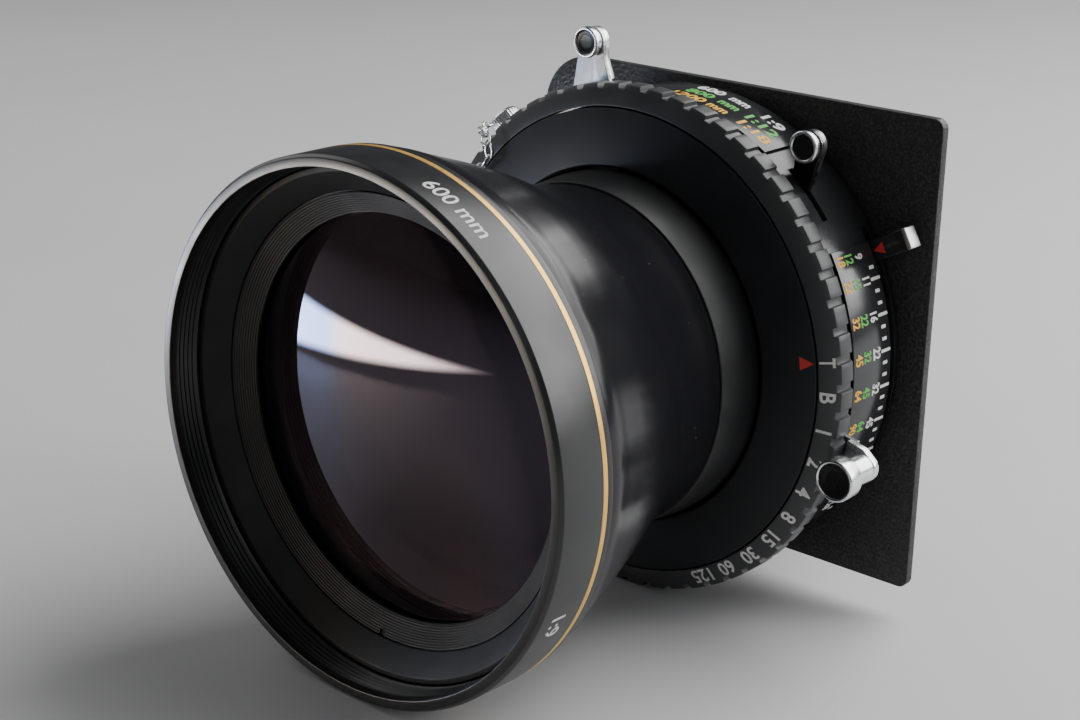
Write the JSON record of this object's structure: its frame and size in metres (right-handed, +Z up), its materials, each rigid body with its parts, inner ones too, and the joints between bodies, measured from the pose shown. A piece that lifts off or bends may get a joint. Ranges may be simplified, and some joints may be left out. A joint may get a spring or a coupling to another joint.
{
  "type": "view camera lens",
  "caption": "Telephoto view camera lens in a leaf shutter on a square board, with speed ring, aperture pointer, cocking, preview and release levers.",
  "frame": {"origin": "rear face of the lens board, on its lower margin, 42 mm straight below the lens axis", "axes": "+Y backwards along the lens axis (the lens looks along -Y), +Z up the board, +X to the right seen from the front"},
  "size_m": [0.1156, 0.1365, 0.1112],
  "materials": {
    "satin_black": "satin black anodised",
    "gloss_black": "gloss black paint",
    "matte_black": "matte black anti-reflection paint",
    "grey_anodised": "satin dark grey anodised",
    "gold": "gold-coloured paint line",
    "coated_glass": "multi-coated optical glass",
    "brass": "brushed",
    "steel": "satin nickel plated",
    "black_steel": "black oxide",
    "chrome": "satin chrome plated",
    "black_cap": "moulded",
    "scale_black": "satin black with filled engraving",
    "crinkle_black": "fine crinkle black paint"
  },
  "bodies": {
    "lens_body": {"front_rim": "satin_black", "gold_inlay_ring": "gold", "front_barrel": "gloss_black", "front_baffle_ring": "matte_black", "front_retaining_ring": "matte_black", "front_element": "coated_glass", "element_spacer": "matte_black", "second_element": "coated_glass", "third_element": "coated_glass", "front_lock_ring": "matte_black", "neck_collar": "grey_anodised", "mechanism_plate": "matte_black", "retard_unit": "steel", "mechanism_screw_1": "steel", "mechanism_screw_2": "steel", "mechanism_screw_3": "steel", "shutter_housing": "satin_black", "front_cover_plate": "matte_black", "aperture_scale_plate": "scale_black", "focal_scale_plate": "scale_black", "release_stud": "steel", "blade_plate": "brass", "sync_socket": "steel", "chain_stud": "chrome", "cable_release_socket": "chrome", "lens_board": "crinkle_black", "board_retaining_ring": "satin_black", "rear_cell_barrel": "satin_black", "fourth_element": "coated_glass", "rear_spacer": "matte_black", "fifth_element": "coated_glass", "rear_inner_spacer": "matte_black", "sixth_element": "coated_glass", "rear_retaining_ring": "matte_black"},
    "speed_ring": {"speed_ring": "grey_anodised"},
    "aperture": {"aperture_control_ring": "black_steel"},
    "cocking": {"cocking_lever": "steel", "cocking_knob": "chrome", "cocking_knob_cap": "black_cap"},
    "preview": {"preview_lever": "black_steel", "preview_knob": "chrome", "preview_knob_cap": "black_cap", "blade_drive_ring": "steel"},
    "release": {"release_lever": "steel", "release_knob": "chrome", "release_knob_cap": "black_cap"},
    "sync_cap": {"sync_cap": "chrome", "sync_cap_chain": "chrome"},
    "shutter_blade_1": {"shutter_blade_1": "black_steel"},
    "shutter_blade_2": {"shutter_blade_2": "black_steel"},
    "shutter_blade_3": {"shutter_blade_3": "black_steel"},
    "shutter_blade_4": {"shutter_blade_4": "black_steel"},
    "shutter_blade_5": {"shutter_blade_5": "black_steel"},
    "iris_blade_1": {"iris_blade_1": "black_steel"},
    "iris_blade_2": {"iris_blade_2": "black_steel"},
    "iris_blade_3": {"iris_blade_3": "black_steel"},
    "iris_blade_4": {"iris_blade_4": "black_steel"},
    "iris_blade_5": {"iris_blade_5": "black_steel"},
    "iris_blade_6": {"iris_blade_6": "black_steel"},
    "iris_blade_7": {"iris_blade_7": "black_steel"}
  },
  "joints": [
    {"name": "speed_ring_turn", "type": "hinge", "parent": "lens_body", "child": "speed_ring", "pos_m": [0, -0.024, 0.042], "axis": [0, -1, 0], "range_deg": [0, 72]},
    {"name": "aperture_set", "type": "hinge", "parent": "lens_body", "child": "aperture", "pos_m": [0, -0.0056, 0.042], "axis": [0, 1, 0], "range_deg": [0, 63]},
    {"name": "cocking_stroke", "type": "hinge", "parent": "lens_body", "child": "cocking", "pos_m": [0, -0.0216, 0.042], "axis": [0, 1, 0], "range_deg": [0, 40], "stiffness_Nm_per_rad": 0.02, "springref_deg": -22.92},
    {"name": "preview_stroke", "type": "hinge", "parent": "lens_body", "child": "preview", "pos_m": [0, -0.0159, 0.042], "axis": [0, 1, 0], "range_deg": [0, 6.8]},
    {"name": "release_stroke", "type": "hinge", "parent": "lens_body", "child": "release", "pos_m": [-0.01699, -0.0159, 0.08107], "axis": [0, -1, 0], "range_deg": [0, 12], "stiffness_Nm_per_rad": 0.02, "springref_deg": -17.19},
    {"name": "sync_cap_pull", "type": "slide", "parent": "lens_body", "child": "sync_cap", "axis": [-0.766, 0, 0.6428], "range_m": [0, 0.002]},
    {"name": "shutter_blade_1_turn", "type": "hinge", "parent": "lens_body", "child": "shutter_blade_1", "pos_m": [0.041, -0.0135, 0.042], "axis": [0, 1, 0], "range_deg": [0, 34]},
    {"name": "shutter_blade_2_turn", "type": "hinge", "parent": "lens_body", "child": "shutter_blade_2", "pos_m": [0.01267, -0.0135, 0.08099], "axis": [0, 1, 0], "range_deg": [0, 34]},
    {"name": "shutter_blade_3_turn", "type": "hinge", "parent": "lens_body", "child": "shutter_blade_3", "pos_m": [-0.03317, -0.0135, 0.0661], "axis": [0, 1, 0], "range_deg": [0, 34]},
    {"name": "shutter_blade_4_turn", "type": "hinge", "parent": "lens_body", "child": "shutter_blade_4", "pos_m": [-0.03317, -0.0135, 0.0179], "axis": [0, 1, 0], "range_deg": [0, 34]},
    {"name": "shutter_blade_5_turn", "type": "hinge", "parent": "lens_body", "child": "shutter_blade_5", "pos_m": [0.01267, -0.0135, 0.00301], "axis": [0, 1, 0], "range_deg": [0, 34]},
    {"name": "iris_blade_1_turn", "type": "hinge", "parent": "lens_body", "child": "iris_blade_1", "pos_m": [0.031, -0.009, 0.042], "axis": [0, -1, 0], "range_deg": [0, 38]},
    {"name": "iris_blade_2_turn", "type": "hinge", "parent": "lens_body", "child": "iris_blade_2", "pos_m": [0.01933, -0.009, 0.06624], "axis": [0, -1, 0], "range_deg": [0, 38]},
    {"name": "iris_blade_3_turn", "type": "hinge", "parent": "lens_body", "child": "iris_blade_3", "pos_m": [-0.0069, -0.009, 0.07222], "axis": [0, -1, 0], "range_deg": [0, 38]},
    {"name": "iris_blade_4_turn", "type": "hinge", "parent": "lens_body", "child": "iris_blade_4", "pos_m": [-0.02793, -0.009, 0.05545], "axis": [0, -1, 0], "range_deg": [0, 38]},
    {"name": "iris_blade_5_turn", "type": "hinge", "parent": "lens_body", "child": "iris_blade_5", "pos_m": [-0.02793, -0.009, 0.02855], "axis": [0, -1, 0], "range_deg": [0, 38]},
    {"name": "iris_blade_6_turn", "type": "hinge", "parent": "lens_body", "child": "iris_blade_6", "pos_m": [-0.0069, -0.009, 0.01178], "axis": [0, -1, 0], "range_deg": [0, 38]},
    {"name": "iris_blade_7_turn", "type": "hinge", "parent": "lens_body", "child": "iris_blade_7", "pos_m": [0.01933, -0.009, 0.01776], "axis": [0, -1, 0], "range_deg": [0, 38]}
  ],
  "couplings": [
    {"joint": "shutter_blade_1_turn", "follows": "preview_stroke", "ratio": 5},
    {"joint": "shutter_blade_2_turn", "follows": "preview_stroke", "ratio": 5},
    {"joint": "shutter_blade_3_turn", "follows": "preview_stroke", "ratio": 5},
    {"joint": "shutter_blade_4_turn", "follows": "preview_stroke", "ratio": 5},
    {"joint": "shutter_blade_5_turn", "follows": "preview_stroke", "ratio": 5},
    {"joint": "iris_blade_1_turn", "follows": "aperture_set", "ratio": 0.6},
    {"joint": "iris_blade_2_turn", "follows": "aperture_set", "ratio": 0.6},
    {"joint": "iris_blade_3_turn", "follows": "aperture_set", "ratio": 0.6},
    {"joint": "iris_blade_4_turn", "follows": "aperture_set", "ratio": 0.6},
    {"joint": "iris_blade_5_turn", "follows": "aperture_set", "ratio": 0.6},
    {"joint": "iris_blade_6_turn", "follows": "aperture_set", "ratio": 0.6},
    {"joint": "iris_blade_7_turn", "follows": "aperture_set", "ratio": 0.6}
  ]
}
